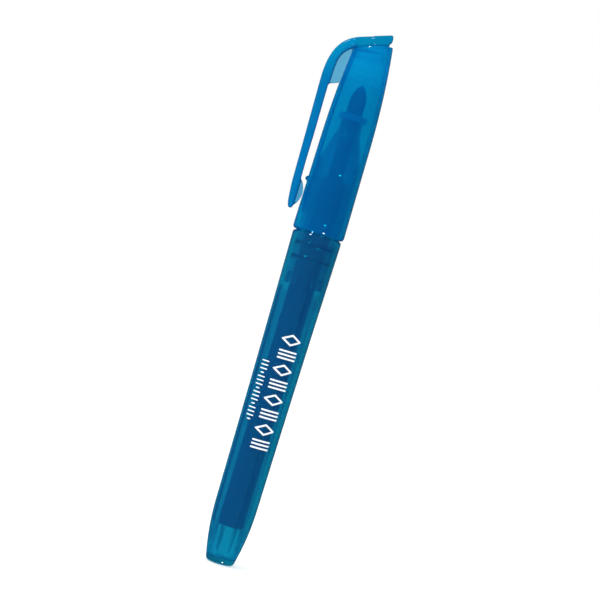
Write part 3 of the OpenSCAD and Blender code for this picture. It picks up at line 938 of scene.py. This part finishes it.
def polygon_distance(polygon, x, z):
    """Signed distance to a closed polygon, negative inside."""
    points = np.stack([x.ravel(), z.ravel()], 1)
    nearest = np.full(len(points), 1e9)
    inside = np.zeros(len(points), bool)
    for a, b in zip(polygon, np.roll(polygon, -1, 0)):
        edge = b - a
        if edge @ edge < 1e-12:
            continue
        away = points - a
        t = np.clip((away @ edge) / (edge @ edge), 0, 1)
        dx, dz = away[:, 0] - t * edge[0], away[:, 1] - t * edge[1]
        nearest = np.minimum(nearest, dx * dx + dz * dz)
        spans = (a[1] > points[:, 1]) != (b[1] > points[:, 1])
        with np.errstate(divide="ignore", invalid="ignore"):
            cross_x = (b[0] - a[0]) * (points[:, 1] - a[1]) / (b[1] - a[1]) + a[0]
        inside ^= spans & (points[:, 0] < cross_x)
    distance = np.sqrt(nearest)
    return np.where(inside, -distance, distance).reshape(x.shape)


def tabulated(polygon, low, high, cell=0.05, margin=2.5):
    """polygon_distance as a function that looks it up in a fine table over the box."""
    xs = np.arange(low[0] - margin, high[0] + margin, cell)
    zs = np.arange(low[2] - margin, high[2] + margin, cell)
    table = polygon_distance(polygon, *np.meshgrid(xs, zs, indexing="ij"))

    def look_up(x, z):
        u = np.clip((x - xs[0]) / cell, 0, len(xs) - 1.001)
        v = np.clip((z - zs[0]) / cell, 0, len(zs) - 1.001)
        i, j = u.astype(int), v.astype(int)
        a, b = u - i, v - j
        return ((table[i, j] * (1 - a) + table[i + 1, j] * a) * (1 - b)
                + (table[i, j + 1] * (1 - a) + table[i + 1, j + 1] * a) * b)

    return look_up


def intersect(a, b, radius):
    """Common part of two fields, with the edge between them rounded."""
    u, v = np.maximum(a + radius, 0), np.maximum(b + radius, 0)
    return np.minimum(np.maximum(a, b), -radius) + np.sqrt(u * u + v * v)


def unite(a, b, width):
    """Both fields together, blended over a width."""
    h = np.clip(0.5 + 0.5 * (b - a) / width, 0, 1)
    return b + (a - b) * h - width * h * (1 - h)


TIP_CORNER = 2.15       # corner radius of the clip's tip, seen from -X
CROWN_DISC_X, CROWN_DISC_R = -0.25, 4.5
WEB_HALF, LUG_HALF = 0.5, 0.7
LUG_X, LUG_Z, LUG_R = -11.66, 95.35, 4.92       # half disc inside the arm, near its tip


def clip_field(points, side, web):
    x, y, z = points[..., 0], np.abs(points[..., 1]), points[..., 2]
    # outer side crowned across its width: the side outline moves in towards the edges
    crown = ease(126.0, 137.0, z)       # 0 on the arm, 1 on the crown
    shift = (0.034 * crown + 0.06 * (1 - crown)) * y * y
    profile = np.maximum(side(x, z), side(x - (1 - crown) * shift, z + crown * shift))
    half = CLIP_HALF - 0.05 - 0.25 * np.clip((123 - z) / 32, 0, 1)      # narrows to the tip
    disc = np.hypot(x - CROWN_DISC_X, y) - CROWN_DISC_R
    plan = unite(disc, np.maximum(y - half, x + 1.0), 1.6)
    tip = np.hypot(np.maximum(y - (half - TIP_CORNER), 0),
                   np.maximum(CLIP_TIP + TIP_CORNER - z, 0)) - TIP_CORNER
    body = intersect(profile, np.where(z > 110, plan, np.maximum(plan, tip)), 0.6)
    outside_cap = -np.maximum(np.hypot(x, y) - cap_r(z) - 0.04, z - top_plane(x) - 0.05)
    body = unite(body, intersect(np.maximum(web(x, z), outside_cap), y - WEB_HALF, 0.12), 0.35)
    lug = np.maximum(np.hypot(x - LUG_X, z - LUG_Z) - LUG_R, -(x + 9.2))
    lug = np.maximum(lug, np.maximum(91.0 - z, z - 99.6))
    return unite(body, intersect(lug, y - LUG_HALF, 0.3), 0.3)


def surface_nets(values, origin, cell):
    """Quad mesh of the zero surface: one vertex in each grid cell that the surface crosses."""
    negative = values < 0
    shape = tuple(n - 1 for n in values.shape)
    total, count = np.zeros((*shape, 3)), np.zeros(shape)
    for axis in range(3):
        others = [i for i in range(3) if i != axis]
        for corner in itertools.product((0, 1), repeat=2):
            offset = [0, 0, 0]
            offset[others[0]], offset[others[1]] = corner
            ahead = [o + (i == axis) for i, o in enumerate(offset)]
            v0, v1 = (values[tuple(slice(o, o + n) for o, n in zip(start, shape))]
                      for start in (offset, ahead))
            cross = (v0 < 0) != (v1 < 0)
            with np.errstate(divide="ignore", invalid="ignore"):
                t = np.where(cross, v0 / (v0 - v1), 0)
            for i in range(3):
                total[..., i] += np.where(cross, t if i == axis else offset[i], 0)
            count += cross
    active = count > 0
    index = -np.ones(shape, int)
    index[active] = np.arange(active.sum())
    verts = origin + (np.argwhere(active) + total[active] / count[active][:, None]) * cell
    faces = []
    for axis in range(3):
        others = [i for i in range(3) if i != axis]
        low = [slice(1, n - 1) for n in values.shape]
        high = list(low)
        low[axis], high[axis] = slice(0, shape[axis]), slice(1, shape[axis] + 1)
        a, b = negative[tuple(low)], negative[tuple(high)]
        edges = np.argwhere(a != b)
        forward = a[tuple(edges.T)] != (axis == 1)
        edges = edges + np.array([0 if i == axis else 1 for i in range(3)])
        corners = []
        for back in ((1, 1), (0, 1), (0, 0), (1, 0)):
            place = edges.copy()
            place[:, others] -= back
            corners.append(index[tuple(place.T)])
        quads = np.stack(corners, 1)
        quads[~forward] = quads[~forward][:, ::-1]
        faces.append(quads)
    return verts, np.concatenate(faces)


def relax(verts, faces, field):
    """Evens out the points along the surface, then puts each back on it."""
    def gradient(at, reach=0.02):
        slope = np.zeros_like(at)
        for i in range(3):
            d = np.zeros(3)
            d[i] = reach
            slope[:, i] = (field(at + d) - field(at - d)) / (2 * reach)
        return slope

    edges = np.concatenate([faces[:, [i, (i + 1) % 4]] for i in range(4)])
    for _ in range(4):
        total = np.zeros_like(verts)
        count = np.zeros(len(verts))
        for a, b in ((0, 1), (1, 0)):
            np.add.at(total, edges[:, a], verts[edges[:, b]])
            np.add.at(count, edges[:, a], 1)
        verts = verts * 0.5 + total / count[:, None] * 0.5
        for _ in range(2):
            slope = gradient(verts)
            steepness = np.maximum((slope * slope).sum(1), 0.25)
            verts = verts - slope * np.clip(field(verts) / steepness, -0.1, 0.1)[:, None]
    return verts


def build_clip():
    cell = 0.15
    low = np.array([-11.4, -5.1, CLIP_TIP - 0.6])
    high = np.array([5.0, 5.1, CROWN_TOP + 0.6])
    counts = np.ceil((high - low) / cell).astype(int) + 1
    side, web = (tabulated(outline, low, high) for outline in (side_outline(), web_outline()))

    def field(points):
        return clip_field(points, side, web)

    axes = [low[i] + np.arange(counts[i]) * cell for i in range(3)]
    values = field(np.stack(np.meshgrid(*axes, indexing="ij"), -1))
    verts, faces = surface_nets(values, low, cell)
    verts = relax(verts, faces, field)
    ob = new_object("crown_and_clip", verts, faces.tolist(), [CLIP_LOOK, WEB_LIGHT_LOOK])
    fix_normals(ob)
    # the thin web and half disc take a lighter copy of the clip plastic, as painted light
    middle = verts[faces].mean(1)
    beyond = side(middle[:, 0], middle[:, 2])
    thin = (np.abs(middle[:, 1]) < 0.78) & (beyond > 0.12) & (middle[:, 0] > -8.6)
    ob.data.polygons.foreach_set("material_index", thin.astype(np.int32))
    return ob


def build_crown_plug():
    """Tapered plug that wedges in the cap's open top."""
    foot = 132.0
    turns = spaced_turns(96)
    outlines = []
    for turn in turns:
        cosine = math.cos(turn)
        rim_z = meet(cap_in, cosine)
        outlines.append(
            [(0, 134.6), (2.5, 134.55), (2.95, 134.3), (3.0, 132.1), (3.1, foot)]
            + follow(cap_in, [foot], 0.12)
            + follow(cap_in, np.linspace(132.1, rim_z - 0.05, 6), 0.02)
            + [(float(cap_in(rim_z)) - 0.15, rim_z + 0.05),
               (2.0, top_plane(2.0 * cosine) + 0.05), (0, top_plane(0) + 0.05)])
    R, Z = split_grids(outlines)
    return turned("crown_plug", turns, R, Z, [CROWN_PLUG_LOOK], False, 40)


clip = build_clip()
plug = build_crown_plug()
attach(plug, "cap")
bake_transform(clip)
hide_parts("crown_clip", "clip_arm")

# ---------------------------------------------------------------- plain white print
# Flat places on the print are (x, z), where x is arc length from the front (-Y).
# Stations across a stroke: share of the way from left to right edge, lift off the barrel.
STROKE_SECTION = [(0, 0.004), (0.07, 0.032), (0.5, 0.036), (0.93, 0.032), (1, 0.004)]


def unit(vector):
    return vector / (np.linalg.norm(vector) or 1)


def stroke_edges(points, width, closed):
    """(left, right) edge points along a line, with round ends when it is open."""
    points = [np.array(p, float) for p in points]
    if closed:
        points.append(points[0])
    fine = [points[0]]
    for p, q in zip(points[:-1], points[1:]):
        n = max(1, int(np.linalg.norm(q - p) / 0.25))
        fine += [p + (q - p) * k / n for k in range(1, n + 1)]
    if closed:
        fine = fine[:-1]
    n = len(fine)
    rows = []
    for i, p in enumerate(fine):
        before = fine[i - 1] if closed or i > 0 else p
        after = fine[(i + 1) % n] if closed or i < n - 1 else p
        arriving, leaving = unit(p - before), unit(after - p)
        along = unit(arriving + leaving)
        across = np.array([-along[1], along[0]])
        run = leaving if np.linalg.norm(leaving) > 0.5 else arriving
        mitre = 1 / max(0.6, abs(across @ np.array([-run[1], run[0]])))
        rows.append((p + across * width / 2 * mitre, p - across * width / 2 * mitre))
    if closed:
        return rows
    for end, sign in ((0, -1), (-1, 1)):
        left, right = rows[end]
        centre, across = (left + right) / 2, (left - right) / width
        along = np.array([across[1], -across[0]])
        cap = []
        for a in np.radians([30, 60, 82]):
            aside, out = across * width / 2 * math.cos(a), sign * along * width / 2 * math.sin(a)
            cap.append((centre + aside + out, centre - aside + out))
        rows = cap[::-1] + rows if end == 0 else rows + cap
    return rows


def build_print():
    """A broad row of lozenges and triple bars, and a narrow row of dashes, on the front."""
    verts, faces = [], []

    def put(x, z, lift):
        r = float(barrel_r(z))
        turn = -math.pi / 2 + x / r
        verts.append(((r + lift) * math.cos(turn), (r + lift) * math.sin(turn), z))
        return len(verts) - 1

    def stroke(points, width, closed=False):
        ids = [[put(*(left * (1 - share) + right * share), lift)
                for share, lift in STROKE_SECTION]
               for left, right in stroke_edges(points, width, closed)]
        n, sides = len(ids), len(STROKE_SECTION)
        for i in range(n if closed else n - 1):
            a, b = ids[i], ids[(i + 1) % n]
            for j in range(sides):
                k = (j + 1) % sides
                faces.append((a[j], b[j], b[k], a[k]))
        if not closed:
            faces.append(tuple(ids[0]))
            faces.append(tuple(reversed(ids[-1])))

    top, bottom, mid_x, half, count = 61.0, 29.9, 1.4, 2.3, 8
    pitch = (top - bottom) / count
    for i in range(count):
        z = top - pitch * (i + 0.5)
        if i % 2 == 0:
            stroke([(mid_x - half, z), (mid_x, z + 1.25), (mid_x + half, z), (mid_x, z - 1.25)],
                   0.46, True)
        else:
            for dz in (-0.95, 0.0, 0.95):
                stroke([(mid_x - half + 0.1, z + dz), (mid_x + half - 0.1, z + dz)], 0.44)
    top, bottom, mid_x, count = 52.9, 36.8, -3.6, 16
    pitch = (top - bottom) / count
    for i in range(count):
        z = top - pitch * (i + 0.5)
        half = 0.95 if i % 4 != 3 else 0.4
        stroke([(mid_x - half, z), (mid_x + half, z)], 0.3)
    ob = new_object("white_print", verts, faces, [PRINT_LOOK], 40)
    fix_normals(ob)
    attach(ob, "pen")


build_print()

# ---------------------------------------------------------------- floor, light, camera
FLOOR_Z = -0.15
FLOOR_RADII = [20 * (1.42 ** k) for k in range(24)]
FLOOR_SIDES = 96
SIDE_LIGHT = 0.56       # how much the room brightens towards -X and darkens towards +X
LAMPS = {"lamp_left": (-0.392, -0.501, 0.72), "lamp_right": (0.289, -0.567, 0.72)}
LAMP_TARGET = (0, 0, 0.085)
CAMERA_PLACE = (0.00045, -0.4216, 0.06936)
CAMERA_ROLL = 16.76     # degrees; the camera looks along +Y


def floor_look():
    """Pale floor that glows a little and looks almost black in reflections."""
    material, tree = new_material("floor_look")
    mottle = texture(tree, (1, 1, 1), Scale=60.0, Detail=3.0)
    colour = ramp(tree, mottle.outputs["Fac"], [(0.3, grey(0.80)), (0.7, grey(0.84))])
    pale = add(tree, "ShaderNodeBsdfPrincipled", Base_Color=colour, Roughness=0.8,
               Emission_Color=(1, 1, 1, 1), Emission_Strength=0.32)
    dark = add(tree, "ShaderNodeEmission", Color=(0.02, 0.02, 0.02, 1))
    rays = tree.nodes.new("ShaderNodeLightPath")
    finish_surface(tree, mix_shader(tree, mirrored_ray(tree, rays), pale.outputs[0],
                                    dark.outputs[0]))
    return material


def build_floor():
    n, rings = FLOOR_SIDES, len(FLOOR_RADII)
    verts, faces = [(0, 0, FLOOR_Z)], []
    for r in FLOOR_RADII:
        for j in range(n):
            a = 2 * math.pi * j / n
            verts.append((r * math.cos(a), r * math.sin(a), FLOOR_Z))
    for j in range(n):
        k = (j + 1) % n
        faces.append((0, 1 + j, 1 + k))
        for ring in range(rings - 1):
            a, b = 1 + ring * n, 1 + (ring + 1) * n
            faces.append((a + j, b + j, b + k, a + k))
    new_object("floor", verts, faces, [floor_look()])


def build_world():
    """Plain white to the camera, nearly black in reflections, a side-lit room to the rest."""
    world = bpy.data.worlds.new("studio")
    bpy.context.scene.world = world
    world.use_nodes = True
    tree = world.node_tree
    tree.nodes.clear()
    rays = tree.nodes.new("ShaderNodeLightPath")
    coords = tree.nodes.new("ShaderNodeTexCoord")
    place = add(tree, "ShaderNodeSeparateXYZ", Vector=coords.outputs["Generated"])
    side = calc(tree, "SUBTRACT", 1.0, calc(tree, "MULTIPLY", place.outputs["X"], SIDE_LIGHT))
    room, white, low = (
        add(tree, "ShaderNodeBackground", Color=(1, 1, 1, 1), Strength=strength).outputs[0]
        for strength in (side, 1.0, 0.02))
    unseen = mix_shader(tree, mirrored_ray(tree, rays), room, low)
    seen = mix_shader(tree, rays.outputs["Is Camera Ray"], unseen, white)
    add(tree, "ShaderNodeOutputWorld", Surface=seen)


def build_lamp(name, place):
    light = bpy.data.lights.new(name, "AREA")
    light.shape = "DISK"
    light.size = 0.03
    light.energy = 1.3
    ob = bpy.data.objects.new(name, light)
    ob.location = place
    aim = Vector(LAMP_TARGET) - Vector(place)
    ob.rotation_euler = aim.to_track_quat("-Z", "Y").to_euler()
    bpy.context.scene.collection.objects.link(ob)


def build_camera():
    camera = bpy.data.cameras.new("camera")
    camera.type = "PERSP"
    camera.lens = 100
    camera.sensor_width = 36
    camera.clip_start = 0.01
    camera.clip_end = 200
    ob = bpy.data.objects.new("camera", camera)
    a = math.radians(CAMERA_ROLL)
    right, up = Vector((math.cos(a), 0, math.sin(a))), Vector((-math.sin(a), 0, math.cos(a)))
    turn = Matrix((right, up, Vector((0, -1, 0)))).transposed().to_4x4()
    ob.matrix_world = Matrix.Translation(CAMERA_PLACE) @ turn
    bpy.context.scene.collection.objects.link(ob)
    bpy.context.scene.camera = ob


build_floor()
build_world()
for lamp_name, lamp_place in LAMPS.items():
    build_lamp(lamp_name, lamp_place)
build_camera()

scene = bpy.context.scene
scene.view_settings.view_transform = "Standard"
scene.view_settings.look = "None"
scene.cycles.max_bounces = 24
scene.cycles.transmission_bounces = 20
scene.cycles.transparent_max_bounces = 24
scene.cycles.glossy_bounces = 8
scene.cycles.diffuse_bounces = 4
scene.cycles.caustics_refractive = True
scene.cycles.sample_clamp_indirect = 6.0
scene.cycles.use_denoising = True
